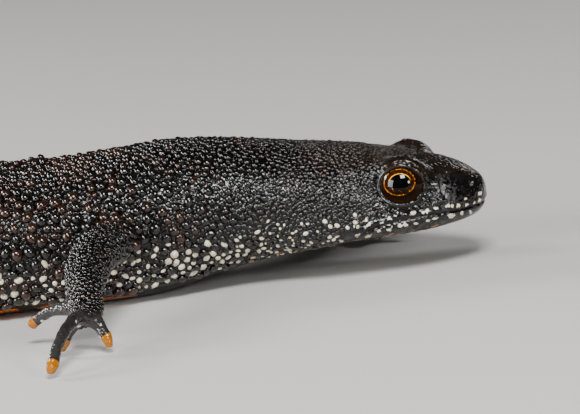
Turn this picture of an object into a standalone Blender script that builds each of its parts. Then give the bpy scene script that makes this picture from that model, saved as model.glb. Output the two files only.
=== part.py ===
"""Crested newt, life size, walking with its belly on the floor.

Metres, +Z up. The snout points to +X and the newt's right side faces -Y. The
origin is in the middle of the flat on which the belly rests, so the floor is
the plane z = 0. The body is lofted along a bent spine, the limbs and digits
are tapered tubes joined to it, and thin cuts then part the whole into the
pieces that a person would name.
"""

import math

import bmesh
import bpy
from mathutils import Matrix, Vector

MM = 0.001

# Driving dimensions
TOTAL_LENGTH = 132 * MM  # snout to tail tip, along the spine
REST_STATION = 44.5 * MM  # where the origin lies, behind the snout
CUT = 0.2 * MM  # gap that parts two neighbouring pieces
WELD = 0.001 * MM  # points closer than this are one point
RING_STEP = 0.20  # rings are evenly spaced on the root of the distance in mm

# Which way the newt points, in degrees left of +X, and the stretch over which it turns there
HEAD_TURN = -7.5
HIP_TURN = 14.0
TAIL_TURN = -30.0
NECK_BEND = (8 * MM, 19 * MM)
TRUNK_BEND = (30 * MM, 62 * MM)
TAIL_BEND = (74 * MM, 118 * MM)

# Sections of the body, in mm: distance behind the snout, half width, underside, back,
# share of the height at which it is widest, and squareness above and below that level
SECTIONS = (
    (0.0, 0.00, 4.45, 4.80, 0.45, 2.1, 2.1),  # tip of the snout
    (0.35, 1.70, 3.25, 5.65, 0.46, 2.1, 2.1),
    (1.3, 2.80, 2.85, 6.35, 0.44, 2.1, 2.2),  # nostrils
    (2.5, 3.75, 2.62, 6.92, 0.40, 2.2, 2.3),
    (4.1, 4.45, 2.43, 7.42, 0.36, 2.2, 2.4),  # front of the eyes
    (5.9, 4.90, 2.33, 7.92, 0.33, 2.1, 2.5),  # middle of the eyes
    (9.0, 5.40, 2.13, 8.50, 0.32, 2.0, 2.5),  # corner of the mouth
    (12.4, 5.15, 1.60, 9.00, 0.37, 2.0, 2.4),  # throat fold
    (15.9, 4.95, 1.25, 9.55, 0.43, 2.0, 2.3),  # neck
    (19.4, 5.25, 0.50, 10.00, 0.44, 2.0, 2.4),
    (22.9, 5.75, -0.10, 9.90, 0.44, 2.1, 2.6),  # shoulders
    (31.4, 6.25, -0.20, 9.30, 0.44, 2.1, 2.7),
    (44.4, 6.55, -0.20, 9.40, 0.43, 2.1, 2.7),  # middle of the belly
    (56.0, 5.90, -0.20, 8.95, 0.44, 2.1, 2.6),
    (64.0, 4.80, -0.15, 8.20, 0.46, 2.1, 2.4),  # hips
    (70.0, 3.85, -0.15, 7.60, 0.44, 2.0, 2.3),  # vent
    (76.0, 2.95, -0.10, 7.40, 0.45, 1.8, 2.0),  # root of the tail
    (88.0, 2.30, -0.10, 7.50, 0.46, 1.7, 1.8),
    (102.0, 1.75, -0.10, 6.70, 0.46, 1.7, 1.8),
    (116.0, 1.20, -0.10, 5.00, 0.46, 1.8, 1.8),
    (126.0, 0.75, -0.08, 3.00, 0.46, 1.9, 1.9),
    (130.6, 0.50, -0.05, 1.75, 0.46, 2.0, 2.0),
    (132.0, 0.00, 0.45, 0.85, 0.46, 2.0, 2.0),  # tail tip
)
SIDE_STEPS = 6  # points from the widest level up to the crest, on each side
BELLY_STEPS = 10  # points round the underside
CREST_HALF = 0.30 * MM  # half thickness of the low crest along the back
CREST_FOOT = 0.70 * MM  # half width of its foot
CREST_HEIGHT = 0.45 * MM
CREST_RISE = (26 * MM, 30 * MM)
CREST_FALL = (62 * MM, 67 * MM)

# Eyes
EYE_RADIUS = 1.70 * MM
EYE_PLACE = (5.3 * MM, 3.00 * MM, 5.90 * MM)  # behind the snout, out from the middle, height
LID_THICKNESS = 0.36 * MM
SOCKET_GAP = 0.10 * MM
LID_OPENING = 1.45 * MM  # radius of the round opening between the lids
EYE_LIFT = 15.0  # degrees that the gaze rises
EYE_FORWARD = 0.0  # degrees that the gaze turns towards the snout

# Mouth
MOUTH_HEIGHT = 4.30 * MM  # at the front of the jaw
MOUTH_CORNER = (9.2 * MM, 3.35 * MM)  # behind the snout, height

# Cuts across the body, behind the snout, and the reach of each cutting plate past the skin
BODY_CUTS = tuple(s * MM for s in (12.0, 19.2, 32.0, 58.5, 72.5, 91.0, 110.0))
PLATE_REACH = 0.9 * MM
JOINT_PLATE = 1.45  # radius of a limb's cutting plate, as a share of the limb's reach there

# Limbs: (behind the snout, out from the middle, height) in mm, then the limb's radius.
# Outwards is positive on both sides, and SIDE_SIGN turns it to the right or the left.
# Each limb ends inside its palm.
LIMBS = {
    "right_fore": (
        (24.5, 2.6, 4.6, 1.75),
        (24.9, 5.6, 4.7, 1.55),  # shoulder
        (25.6, 8.0, 4.8, 1.50),
        (26.2, 10.6, 4.7, 1.50),  # elbow
        (26.6, 12.6, 4.0, 1.40),
        (26.6, 14.2, 3.3, 1.10),  # wrist
        (26.4, 15.3, 2.8, 0.80),
    ),
    "left_fore": (
        (24.5, 2.6, 4.6, 1.95),
        (24.0, 5.6, 4.8, 1.80),
        (22.8, 7.9, 5.1, 1.65),
        (20.7, 9.6, 4.8, 1.55),
        (17.7, 9.9, 3.2, 1.40),
        (15.0, 9.7, 1.6, 1.05),
        (13.2, 9.5, 0.95, 0.75),
    ),
    "right_hind": (
        (66.2, 1.8, 4.1, 2.10),
        (65.4, 4.8, 4.3, 1.95),  # hip
        (63.6, 7.6, 4.8, 1.75),
        (61.8, 10.2, 4.8, 1.60),  # knee
        (61.7, 12.7, 3.2, 1.40),
        (61.3, 14.9, 1.6, 1.05),  # ankle
        (60.3, 16.2, 0.95, 0.75),
    ),
    "left_hind": (
        (66.4, 1.8, 4.1, 2.10),
        (66.6, 4.8, 4.3, 1.95),
        (67.1, 7.8, 4.8, 1.75),
        (68.3, 10.5, 4.7, 1.60),
        (71.0, 12.5, 3.1, 1.40),
        (73.3, 14.2, 1.6, 1.05),
        (74.7, 15.4, 0.95, 0.75),
    ),
}
LIMB_CUTS = (0.29, 0.54, 0.82)  # shoulder or hip, elbow or knee, and wrist or ankle
# The flat of each hand or foot: centre, then the place towards which it points, in mm
PALMS = {
    "right_fore": ((26.55, 15.7, 2.6), (26.8, 18.2, 1.6)),
    "left_fore": ((12.6, 9.4, 0.85), (9.4, 9.2, 0.8)),
    "right_hind": ((59.8, 16.5, 0.85), (57.4, 18.7, 0.8)),
    "left_hind": ((75.0, 15.7, 0.85), (76.6, 19.1, 0.8)),
}
# Ends of the digits, from the innermost out, in mm; what touches the floor ends at TIP_HEIGHT
TIP_HEIGHT = 0.42
TIPS = {
    "right_fore": (
        (25.3, 17.4, TIP_HEIGHT),
        (28.75, 22.6, TIP_HEIGHT),
        (28.4, 17.2, TIP_HEIGHT),
        (30.4, 12.9, 1.30),  # still in the air, as the foot leaves the floor
    ),
    "left_fore": (
        (10.7, 6.6, TIP_HEIGHT),
        (8.1, 7.6, TIP_HEIGHT),
        (7.7, 10.3, TIP_HEIGHT),
        (9.7, 12.6, TIP_HEIGHT),
    ),
    "right_hind": (
        (57.9, 13.9, TIP_HEIGHT),
        (55.5, 15.6, TIP_HEIGHT),
        (54.6, 18.5, TIP_HEIGHT),
        (55.8, 21.4, TIP_HEIGHT),
        (58.8, 21.4, TIP_HEIGHT),
    ),
    "left_hind": (
        (72.4, 18.0, TIP_HEIGHT),
        (73.0, 21.0, TIP_HEIGHT),
        (75.7, 22.8, TIP_HEIGHT),
        (78.8, 21.9, TIP_HEIGHT),
        (79.5, 18.9, TIP_HEIGHT),
    ),
}
SIDE_SIGN = {"right": 1, "left": -1}
PALM_HALF = (1.55 * MM, 1.15 * MM, 0.68 * MM)  # along the hand, across it, thick
DIGIT_RADIUS = 0.52 * MM
DIGIT_ARCH = 0.13  # how far a digit bows up between its root and its tip, as a share of it
LIMB_STEPS = 3  # rings between two named places of a limb
LIMB_ROUNDING = 2  # bevel resolution of a limb
DIGIT_ROUNDING = 1
WORDS = {"fore": ("upper_arm", "forearm", "hand"), "hind": ("thigh", "shin", "foot")}

MATERIALS = {  # colour, roughness
    "newt_skin": ((0.020, 0.016, 0.013, 1.0), 0.35),
    "newt_eye": ((0.060, 0.026, 0.008, 1.0), 0.08),
}


def clear_scene():
    for thing in list(bpy.data.objects):
        bpy.data.objects.remove(thing)


def ease(start, end, s):
    """0 before start, 1 after end, and a smooth rise between."""
    t = min(max((s - start) / (end - start), 0.0), 1.0)
    return t * t * (3 - 2 * t)


def heading(s):
    """Which way the newt points at distance s behind the snout, in radians left of +X."""
    turn = HEAD_TURN * (1 - ease(*NECK_BEND, s))
    turn += HIP_TURN * ease(*TRUNK_BEND, s)
    turn += (TAIL_TURN - HIP_TURN) * ease(*TAIL_BEND, s)
    return math.radians(turn)


def spine_points():
    """Points of the spine every half millimetre, walking back from the snout."""
    step = 0.5 * MM
    count = round(TOTAL_LENGTH / step)
    points = [Vector((0.0, 0.0, 0.0))]
    for i in range(count):
        turn = heading((i + 0.5) * step)
        points.append(points[-1] - step * Vector((math.cos(turn), math.sin(turn), 0.0)))
    rest = points[round(REST_STATION / step)].copy()
    return [point - rest for point in points], step


SPINE, SPINE_STEP = spine_points()


def spine(s):
    steps = min(max(s / SPINE_STEP, 0.0), len(SPINE) - 1.001)
    i = int(steps)
    return SPINE[i].lerp(SPINE[i + 1], steps - i)


def place(s, out, height):
    """The point at distance s behind the snout, out to the newt's right, at that height."""
    turn = heading(s)
    right = Vector((math.sin(turn), -math.cos(turn), 0.0))
    return spine(s) + out * right + Vector((0.0, 0.0, height))


def section(s):
    """The section's sizes at distance s, on a smooth curve through SECTIONS."""
    at = [math.sqrt(row[0]) for row in SECTIONS]
    q = math.sqrt(max(s, 0.0) / MM)
    i = max(k for k in range(len(at) - 1) if at[k] <= q or k == 0)
    span = at[i + 1] - at[i]
    t = min((q - at[i]) / span, 1.0)

    def slope(k, column):
        low, high = max(k - 1, 0), min(k + 1, len(at) - 1)
        return (SECTIONS[high][column] - SECTIONS[low][column]) / (at[high] - at[low])

    found = []
    for column in range(1, 7):
        a, b = SECTIONS[i][column], SECTIONS[i + 1][column]
        rise = (2 * t**3 - 3 * t**2 + 1) * a + (3 * t**2 - 2 * t**3) * b
        rise += (t**3 - 2 * t**2 + t) * span * slope(i, column)
        rise += (t**3 - t**2) * span * slope(i + 1, column)
        found.append(rise)
    half, under, back, widest, above, below = found
    return half * MM, under * MM, back * MM, widest, above, below


def crest(s):
    return CREST_HEIGHT * ease(*CREST_RISE, s) * (1 - ease(*CREST_FALL, s))


def ring(s):
    """Points round the body at distance s, from the right side over the back and the belly."""
    half, under, back, widest, above, below = section(s)
    middle = under + (back - under) * widest
    foot = min(CREST_FOOT, 0.55 * half)
    edge = min(CREST_HALF, 0.25 * half)

    def top(out):
        return middle + (back - middle) * (1 - (abs(out) / half) ** above) ** (1 / above)

    climb = math.acos(min((foot / half) ** (above / 2), 1.0))
    outs = []
    for i in range(SIDE_STEPS):
        share = math.cos(climb * i / SIDE_STEPS) ** (2 / above)
        outs.append(half * share)
    rising = [(out, top(out)) for out in outs]
    peak = [(foot, top(foot)), (edge, top(edge) + crest(s))]
    right = rising + peak
    left = [(-out, height) for out, height in reversed(right)]
    low = []
    for i in range(1, BELLY_STEPS):
        angle = math.pi + math.pi * i / BELLY_STEPS
        out = half * math.copysign(abs(math.cos(angle)) ** (2 / below), math.cos(angle))
        drop = (middle - under) * abs(math.sin(angle)) ** (2 / below)
        low.append((out, middle - drop))
    return [place(s, out, height) for out, height in right + left + low]


def new_object(name, mesh):
    made = bpy.data.objects.new(name, mesh)
    bpy.context.scene.collection.objects.link(made)
    return made


def as_object(name, shape):
    """Turns a bmesh into an object, with its normals outwards."""
    bmesh.ops.recalc_face_normals(shape, faces=shape.faces)
    mesh = bpy.data.meshes.new(name)
    shape.to_mesh(mesh)
    shape.free()
    return new_object(name, mesh)


def loft_body():
    """The body from snout to tail tip, without its limbs."""
    last = math.sqrt(TOTAL_LENGTH / MM)
    count = round(last / RING_STEP)
    rings = [ring((last * i / count) ** 2 * MM) for i in range(1, count)]
    shape = bmesh.new()
    loops = [[shape.verts.new(point) for point in points] for points in rings]
    around = len(loops[0])
    for fore, aft in zip(loops, loops[1:]):
        for i in range(around):
            j = (i + 1) % around
            shape.faces.new((fore[i], fore[j], aft[j], aft[i]))
    for loop, s in ((loops[0], 0.0), (loops[-1], TOTAL_LENGTH)):
        _, under, back, *_ = section(s)
        tip = shape.verts.new(place(s, 0.0, (under + back) / 2))
        for i in range(around):
            shape.faces.new((loop[i], loop[(i + 1) % around], tip))
    return as_object("body", shape)


def evaluated_mesh(thing):
    graph = bpy.context.evaluated_depsgraph_get()
    return bpy.data.meshes.new_from_object(thing.evaluated_get(graph), depsgraph=graph)


def meshed(name, curve):
    """The curve's solid as a mesh object, with its loose caps welded on."""
    guide = new_object(name + "_guide", curve)
    made = new_object(name, evaluated_mesh(guide))
    made.matrix_world = guide.matrix_world
    bpy.data.objects.remove(guide)
    shape = bmesh.new()
    shape.from_mesh(made.data)
    bmesh.ops.remove_doubles(shape, verts=shape.verts, dist=WELD)
    bmesh.ops.recalc_face_normals(shape, faces=shape.faces)
    shape.to_mesh(made.data)
    shape.free()
    return made


def tube(name, points, radii, resolution):
    """A tapered tube as a mesh, from a bevelled curve with filled caps."""
    curve = bpy.data.curves.new(name, "CURVE")
    curve.dimensions = "3D"
    curve.bevel_depth = 1.0
    curve.bevel_resolution = resolution
    curve.use_fill_caps = True
    spline = curve.splines.new("POLY")
    spline.points.add(len(points) - 1)
    for point, co, radius in zip(spline.points, points, radii):
        point.co = (*co, 1.0)
        point.radius = radius
    return meshed(name, curve)


def combine(target, other, operation):
    """Joins other to target or cuts it away, then removes other."""
    modifier = target.modifiers.new(operation.lower(), "BOOLEAN")
    modifier.operation = operation
    modifier.object = other
    old, mesh = target.data, evaluated_mesh(target)
    target.modifiers.remove(modifier)
    target.data = mesh
    bpy.data.meshes.remove(old)
    bpy.data.objects.remove(other)
    return target


def ball(name, centre, halves, rows=None, segments=16, rings=10):
    """A sphere stretched to the half sizes, along the directions in rows."""
    bpy.ops.mesh.primitive_uv_sphere_add(segments=segments, ring_count=rings, radius=1.0)
    made = bpy.context.object
    made.name = name
    turn = Matrix(rows).transposed() if rows else Matrix.Identity(3)
    made.data.transform(Matrix.Diagonal((*halves, 1.0)))
    made.data.transform(turn.to_4x4())
    made.location = centre
    return made


def limb_place(side, row):
    return place(row[0] * MM, SIDE_SIGN[side] * row[1] * MM, row[2] * MM)


def limb_path(side, rows):
    """Points and radii on a smooth curve through a limb's named places."""
    knots = [(limb_place(side, row), row[3] * MM) for row in rows]
    points, radii = [], []
    for i in range(len(knots) - 1):
        before, after = knots[max(i - 1, 0)], knots[min(i + 2, len(knots) - 1)]
        (a, ra), (b, rb) = knots[i], knots[i + 1]
        for k in range(LIMB_STEPS):
            t = k / LIMB_STEPS
            bend = (t**3 - 2 * t**2 + t) * (b - before[0]) / 2
            bend += (t**3 - t**2) * (after[0] - a) / 2
            points.append(a * (2 * t**3 - 3 * t**2 + 1) + b * (3 * t**2 - 2 * t**3) + bend)
            radii.append(ra + (rb - ra) * t)
    points.append(knots[-1][0])
    radii.append(knots[-1][1])
    return points, radii


def digit(name, root, tip):
    """A digit from its root in the palm to a rounded tip on the floor."""
    length = (tip - root).length
    stops = [length * share for share in (0.0, 0.25, 0.5, 0.72)]
    radii = [DIGIT_RADIUS * swell for swell in (1.15, 1.05, 0.98, 0.95)]
    for angle in (0, 40, 70):
        stops.append(length + DIGIT_RADIUS * (math.sin(math.radians(angle)) - 0.55))
        radii.append(DIGIT_RADIUS * math.cos(math.radians(angle)))
    along = (tip - root) / length
    rise = Vector((0.0, 0.0, 1.0)) - along.z * along
    points = []
    for stop in stops:
        t = stop / length
        bow = DIGIT_ARCH * length * 4 * max(t * (1 - t), 0.0)
        points.append(root + stop * along + bow * rise)
    return tube(name, points, radii, DIGIT_ROUNDING)


def limb(name):
    """One whole limb: the leg, its palm and its digits, joined."""
    side = name.split("_")[0]
    made = tube(name, *limb_path(side, LIMBS[name]), LIMB_ROUNDING)
    centre, towards = (limb_place(side, row) for row in PALMS[name])
    along = (towards - centre).normalized()
    across = Vector((0.0, 0.0, 1.0)).cross(along).normalized()
    palm = ball(name + "_palm", centre, PALM_HALF, (along, across, along.cross(across)), 12, 8)
    combine(made, palm, "UNION")
    for i, row in enumerate(TIPS[name]):
        tip = limb_place(side, row)
        outwards = (tip - centre).normalized()
        root = centre + outwards * 0.55 * PALM_HALF[1]
        combine(made, digit(f"{name}_digit_{i + 1}", root, tip), "UNION")
    return made


def eye_frame(side):
    """Centre of an eye, and the direction of its gaze."""
    s, out, height = EYE_PLACE
    centre = place(s, SIDE_SIGN[side] * out, height)
    turn, lift, forward = heading(s), math.radians(EYE_LIFT), math.radians(EYE_FORWARD)
    right = Vector((math.sin(turn), -math.cos(turn), 0.0)) * SIDE_SIGN[side]
    ahead = Vector((math.cos(turn), math.sin(turn), 0.0))
    level = math.cos(forward) * right + math.sin(forward) * ahead
    return centre, math.cos(lift) * level + Vector((0.0, 0.0, math.sin(lift)))


def disc(name, centre, direction, radius, thickness, sides=24):
    """A round plate or rod with its middle at centre, square to direction."""
    bpy.ops.mesh.primitive_cylinder_add(vertices=sides, radius=radius, depth=thickness)
    made = bpy.context.object
    made.name = name
    made.rotation_euler = direction.to_track_quat("Z", "Y").to_euler()
    made.location = centre
    return made


def add_eye_mounds(body):
    for side in SIDE_SIGN:
        centre, _ = eye_frame(side)
        halves = (EYE_RADIUS + LID_THICKNESS,) * 3
        combine(body, ball("mound_" + side, centre, halves), "UNION")


def open_sockets(body):
    """Sinks a round socket for each eye, open between the lids."""
    for side in SIDE_SIGN:
        centre, gaze = eye_frame(side)
        reach = EYE_RADIUS + SOCKET_GAP
        combine(body, ball("socket_" + side, centre, (reach,) * 3), "DIFFERENCE")
        middle = centre + gaze * 1.5 * EYE_RADIUS
        opening = disc("opening_" + side, middle, gaze, LID_OPENING, 1.4 * EYE_RADIUS)
        combine(body, opening, "DIFFERENCE")


def add_eyes():
    for side in SIDE_SIGN:
        centre, gaze = eye_frame(side)
        made = ball("eye_" + side, (0.0, 0.0, 0.0), (EYE_RADIUS,) * 3)
        made.rotation_euler = gaze.to_track_quat("Z", "Y").to_euler()
        made.location = centre


def body_plate(s):
    """A thin plate across the body at distance s, only a little wider than the body."""
    half, under, back, *_ = section(s)
    reach = PLATE_REACH + max(half, (back - under) / 2)
    bpy.ops.mesh.primitive_cube_add(size=1.0)
    made = bpy.context.object
    made.name = "body_plate"
    height = back - under + 2 * reach
    made.data.transform(Matrix.Diagonal((CUT, 2 * (half + PLATE_REACH), height, 1.0)))
    made.rotation_euler = (0.0, 0.0, heading(s))
    made.location = place(s, 0.0, (under + back) / 2)
    return made


def jaw_cutter():
    """A thin sheet that parts the lower jaw: back along the mouth, then down the throat."""
    s, height = MOUTH_CORNER
    front = 3 * MM  # how far the sheet stands out before the snout
    outline = (
        (front, MOUTH_HEIGHT + CUT / 2),
        (-s + CUT / 2, height + CUT / 2),
        (-s - CUT / 2, height + CUT / 2),
        (-s - CUT / 2, -1 * MM),
        (-s + CUT / 2, -1 * MM),
        (-s + CUT / 2, height - CUT / 2),
        (front, MOUTH_HEIGHT - CUT / 2),
    )
    curve = bpy.data.curves.new("jaw_cutter", "CURVE")
    curve.dimensions = "2D"
    curve.fill_mode = "BOTH"
    curve.extrude = 8 * MM
    spline = curve.splines.new("POLY")
    spline.points.add(len(outline) - 1)
    spline.use_cyclic_u = True
    for point, (x, y) in zip(spline.points, outline):
        point.co = (x, y, 0.0, 1.0)
    made = meshed("jaw_cutter", curve)
    made.rotation_euler = (math.pi / 2, 0.0, math.radians(HEAD_TURN))
    made.location = place(0.0, 0.0, 0.0)
    return made


def along_limb(name, share):
    """Centre, direction and radius of a limb at that share of the way along it."""
    points, radii = limb_path(name.split("_")[0], LIMBS[name])
    at = share * (len(points) - 1)
    i = min(int(at), len(points) - 2)
    return points[i].lerp(points[i + 1], at - i), points[i + 1] - points[i], radii[i]


def joint_plate(name, share):
    """A thin round plate square to a limb, at that share of the way along it."""
    centre, direction, radius = along_limb(name, share)
    return disc("joint_plate", centre, direction, JOINT_PLATE * radius, CUT)


def part_body(body):
    """Parts the whole newt with thin cuts and names each piece by its nearest landmark."""
    for name in LIMBS:
        for share in LIMB_CUTS:
            combine(body, joint_plate(name, share), "DIFFERENCE")
    for s in reversed(BODY_CUTS):
        combine(body, body_plate(s), "DIFFERENCE")
    combine(body, jaw_cutter(), "DIFFERENCE")
    bpy.ops.object.select_all(action="DESELECT")
    body.select_set(True)
    bpy.context.view_layer.objects.active = body
    bpy.ops.mesh.separate(type="LOOSE")
    pieces = [thing for thing in bpy.context.scene.objects if thing.select_get()]
    marks = landmarks()
    for piece in pieces:
        centre = sum((Vector(corner) for corner in piece.bound_box), Vector()) / 8
        piece.name = min(marks, key=lambda word: (marks[word] - centre).length)


def landmarks():
    """Where the middle of each named piece lies."""
    words = ("head", "neck", "chest", "belly", "hips", "tail_base", "tail_middle", "tail_tip")
    ends = (0.0, *BODY_CUTS, TOTAL_LENGTH)
    marks = {}
    for word, front, rear in zip(words, ends, ends[1:]):
        s = (front + rear) / 2
        _, under, back, *_ = section(s)
        marks[word] = place(s, 0.0, (under + back) / 2)
    marks["lower_jaw"] = place(MOUTH_CORNER[0] / 2, 0.0, 2.4 * MM)
    for name in LIMBS:
        side, end = name.split("_")
        upper, lower, tip = (f"{side}_{word}" for word in WORDS[end])
        marks[upper], *_ = along_limb(name, (LIMB_CUTS[0] + LIMB_CUTS[1]) / 2)
        marks[lower], *_ = along_limb(name, (LIMB_CUTS[1] + LIMB_CUTS[2]) / 2)
        marks[tip] = limb_place(side, PALMS[name][1])
    return marks


def finish_materials():
    """Gives each piece its material and smooth shading."""
    made = {}
    for word, (colour, roughness) in MATERIALS.items():
        material = bpy.data.materials.new(word)
        material.use_nodes = True
        shader = material.node_tree.nodes["Principled BSDF"]
        shader.inputs["Base Color"].default_value = colour
        shader.inputs["Roughness"].default_value = roughness
        made[word] = material
    newt = bpy.data.collections.new("crested_newt")
    bpy.context.scene.collection.children.link(newt)
    for piece in list(bpy.context.scene.collection.objects):
        word = "newt_eye" if piece.name.startswith("eye") else "newt_skin"
        piece.data.materials.clear()
        piece.data.materials.append(made[word])
        piece.data.shade_smooth()
        piece.data.set_sharp_from_angle(angle=math.radians(40))
        newt.objects.link(piece)
        bpy.context.scene.collection.objects.unlink(piece)


def cut_flats(body):
    """Cuts off what dips below the floor, which leaves the flats that the newt rests on."""
    depth = 4 * MM
    bpy.ops.mesh.primitive_cube_add(size=1.0, location=(0.0, 0.0, -depth / 2))
    floor = bpy.context.object
    floor.name = "floor"
    floor.data.transform(Matrix.Diagonal((2 * TOTAL_LENGTH, TOTAL_LENGTH, depth, 1.0)))
    combine(body, floor, "DIFFERENCE")


def main():
    clear_scene()
    body = loft_body()
    add_eye_mounds(body)
    for name in LIMBS:
        combine(body, limb(name), "UNION")
    cut_flats(body)
    open_sockets(body)
    part_body(body)
    add_eyes()
    finish_materials()


main()
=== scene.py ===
# %% [markdown]
# # A crested newt, life size
# A land-phase crested newt rests with its belly on the floor. This lesson dresses
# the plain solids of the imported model: one skin over all the flesh, thousands of
# glossy warts on the skin, and two wet eyes with a wet rim round each.

# %% Load the frame
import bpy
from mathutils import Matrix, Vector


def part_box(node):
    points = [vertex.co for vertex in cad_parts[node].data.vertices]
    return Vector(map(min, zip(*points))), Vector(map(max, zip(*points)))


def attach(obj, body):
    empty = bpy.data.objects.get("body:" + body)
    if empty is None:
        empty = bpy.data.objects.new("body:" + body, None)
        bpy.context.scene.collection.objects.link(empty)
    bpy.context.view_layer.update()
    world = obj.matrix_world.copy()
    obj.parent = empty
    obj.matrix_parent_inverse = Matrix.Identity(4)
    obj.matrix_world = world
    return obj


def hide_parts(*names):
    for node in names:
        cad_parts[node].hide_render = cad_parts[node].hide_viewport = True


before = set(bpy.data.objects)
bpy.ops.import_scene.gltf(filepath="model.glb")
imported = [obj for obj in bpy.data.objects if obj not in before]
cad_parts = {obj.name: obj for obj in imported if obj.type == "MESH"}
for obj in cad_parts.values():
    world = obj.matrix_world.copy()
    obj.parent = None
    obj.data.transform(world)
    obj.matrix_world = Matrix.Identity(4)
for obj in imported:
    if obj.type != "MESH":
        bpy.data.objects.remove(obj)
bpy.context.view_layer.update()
import math
import time

import bmesh
import bpy
import numpy as np
from mathutils import Matrix, Vector, noise

MM = 0.001
STARTED = time.time()


def report(*words):
    """Prints the words and the seconds since the start."""
    print(*words, "at", round(time.time() - STARTED, 1), "s")


# %% [markdown]
# ## Helpers for objects and materials
# Operators act on all that is selected, so the selection is always cleared first.
# New objects and new materials each take a few lines, which are written once here.

# %% Helpers
def clear_selection():
    bpy.ops.object.select_all(action="DESELECT")


def select_only(*things):
    """Selects these objects alone, and makes the first of them the active one."""
    clear_selection()
    for thing in things:
        thing.select_set(True)
    bpy.context.view_layer.objects.active = things[0]


def add_object(name, data):
    thing = bpy.data.objects.new(name, data)
    bpy.context.scene.collection.objects.link(thing)
    return thing


def colour(red, green, blue):
    return (red, green, blue, 1.0)


def new_material(name):
    """A new material, and the sockets of its shader."""
    material = bpy.data.materials.new(name)
    material.use_nodes = True
    return material, material.node_tree.nodes["Principled BSDF"].inputs


print("helpers ready")

# %% [markdown]
# ## Floor and sky
# The newt is shown like a specimen on a table: a pale floor that reaches past the
# view on all sides, and a weak, even sky that only lifts the shadows.

# %% Floor and sky
FLOOR_SIZE = 4.0  # m


def make_floor():
    clear_selection()
    bpy.ops.mesh.primitive_plane_add(size=FLOOR_SIZE)
    floor = bpy.context.object
    floor.name = "floor"
    material, shader = new_material("pale_floor")
    shader["Base Color"].default_value = colour(0.57, 0.555, 0.53)
    shader["Roughness"].default_value = 0.7
    floor.data.materials.append(material)


def make_sky():
    world = bpy.data.worlds.new("sky")
    world.use_nodes = True
    background = world.node_tree.nodes["Background"].inputs
    background["Color"].default_value = colour(0.9, 0.94, 1.0)
    background["Strength"].default_value = 0.05
    bpy.context.scene.world = world


make_floor()
make_sky()
print("floor", FLOOR_SIZE, "m wide")

# %% [markdown]
# ## Camera
# A long lens a little above the floor shows the head and the shoulder from the side,
# with hardly any perspective. The camera is turned a little about its line of sight,
# as a hand-held one is.

# %% Camera
VIEW_TARGET = Vector((31.2, -5.0, 5.6)) * MM
VIEW_DISTANCE = 200 * MM
VIEW_RISE = math.radians(11.0)
VIEW_ROLL = math.radians(-6.5)
VIEW_LENS = 190.0


def make_camera():
    lens = bpy.data.cameras.new("view")
    lens.lens = VIEW_LENS
    lens.clip_start = 0.01
    camera = add_object("view", lens)
    back = Vector((0.0, -math.cos(VIEW_RISE), math.sin(VIEW_RISE)))
    camera.location = VIEW_TARGET + VIEW_DISTANCE * back
    turn = back.to_track_quat("Z", "Y").to_matrix() @ Matrix.Rotation(VIEW_ROLL, 3, "Z")
    camera.rotation_euler = turn.to_euler()
    bpy.context.scene.camera = camera


make_camera()
print("camera stands", round(bpy.context.scene.camera.location.z / MM), "mm above the floor")

# %% [markdown]
# ## Lights
# A wet wart shows each lamp as a small bright dot. The lamps are therefore small soft
# boxes about 30 cm away: large ones would lay a grey veil over the black hide. Two
# stand on the camera's side, one hangs above, and two stand behind for the outline.

# %% Lights
def soft_box(name, place, target, size, watts):
    light = bpy.data.lights.new(name, "AREA")
    light.shape = "RECTANGLE"
    light.size, light.size_y = size
    light.energy = watts
    lamp = add_object(name, light)
    lamp.location = place
    lamp.rotation_euler = (target - lamp.location).to_track_quat("-Z", "Y").to_euler()


LIGHTS = (  # name, direction from the newt, distance in m, size in m, watts
    ("side_left", (-0.85, -0.45, 0.30), 0.30, (0.16, 0.16), 1.15),
    ("above_view", (0.05, -0.65, 0.76), 0.30, (0.09, 0.08), 1.12),
    ("front_right", (0.50, -0.80, 0.33), 0.30, (0.05, 0.05), 0.36),
    ("behind_left", (-0.80, 0.42, 0.42), 0.34, (0.10, 0.08), 0.80),
    ("behind_right", (0.36, 0.88, 0.22), 0.32, (0.06, 0.04), 0.025),
)
for name, direction, distance, size, watts in LIGHTS:
    place = VIEW_TARGET + Vector(direction).normalized() * distance
    soft_box(name, place, VIEW_TARGET, size, watts)
print(len(LIGHTS), "lamps")

# %% [markdown]
# ## Coordinates along the newt
# A newt is easiest to describe by three numbers: how far behind the snout, how far
# to its right, and how high. The spine bends by known angles, so it is walked once
# in half-millimetre steps, and every point of the skin is then matched to it.

# %% Spine coordinates
REST_STATION = 44.5  # mm behind the snout at which the origin lies
TOTAL_LENGTH = 132.0
HEAD_TURN, HIP_TURN, TAIL_TURN = -7.5, 14.0, -30.0
HALF_WIDTHS = (
    (0, 0), (0.35, 1.7), (1.3, 2.8), (4.1, 4.45), (9, 5.4), (16, 4.95), (23, 5.75), (31, 6.25),
    (44, 6.55), (56, 5.9), (64, 4.8), (70, 3.85), (76, 2.95), (88, 2.3), (102, 1.75), (116, 1.2),
    (126, 0.75), (132, 0.4),
)


def ramp(start, end, value):
    """0 before start, 1 after end, with a smooth rise between."""
    t = np.clip((np.asarray(value, dtype=float) - start) / (end - start), 0.0, 1.0)
    return t * t * (3 - 2 * t)


def walk_spine():
    step = 0.5
    middles = np.arange(0, TOTAL_LENGTH, step) + step / 2
    turn = HEAD_TURN * (1 - ramp(8, 19, middles)) + HIP_TURN * ramp(30, 62, middles)
    turn = np.radians(turn + (TAIL_TURN - HIP_TURN) * ramp(74, 118, middles))
    ahead = np.stack([np.cos(turn), np.sin(turn)], axis=1)
    points = np.concatenate([np.zeros((1, 2)), -np.cumsum(ahead * step, axis=0)])
    points -= points[round(REST_STATION / step)]
    return (points[1:] + points[:-1]) / 2, ahead, middles


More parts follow.
